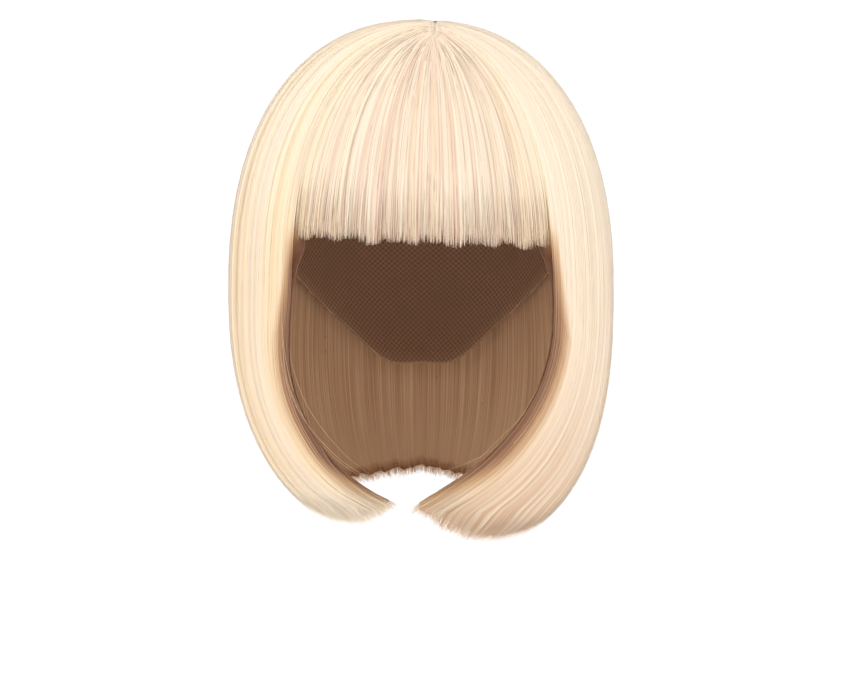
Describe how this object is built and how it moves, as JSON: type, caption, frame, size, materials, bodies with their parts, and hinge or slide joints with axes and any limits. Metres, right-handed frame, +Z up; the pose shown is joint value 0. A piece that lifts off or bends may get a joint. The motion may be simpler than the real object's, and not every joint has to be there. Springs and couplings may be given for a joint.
{
  "type": "bob wig",
  "caption": "Bob wig with a straight fringe, a short parting and sides that curl in under the chin, on a net cap that fits over the head.",
  "frame": {"origin": "crown of the cap's inside, where the top of the wearer's head touches it", "axes": "+Z up, -Y the way the face looks, +X towards the wearer's left"},
  "size_m": [0.1908, 0.2169, 0.2573],
  "materials": {
    "hair": "smooth pale butter-blonde fibre with a soft sheen",
    "cap_net": "matt brown elastic net",
    "parting_skin": "matt skin-coloured backing"
  },
  "bodies": {
    "root": {"cap": "cap_net", "parting_strip": "parting_skin", "fringe": "hair", "hair_left": "hair", "hair_back": "hair", "hair_right": "hair"}
  },
  "joints": []
}
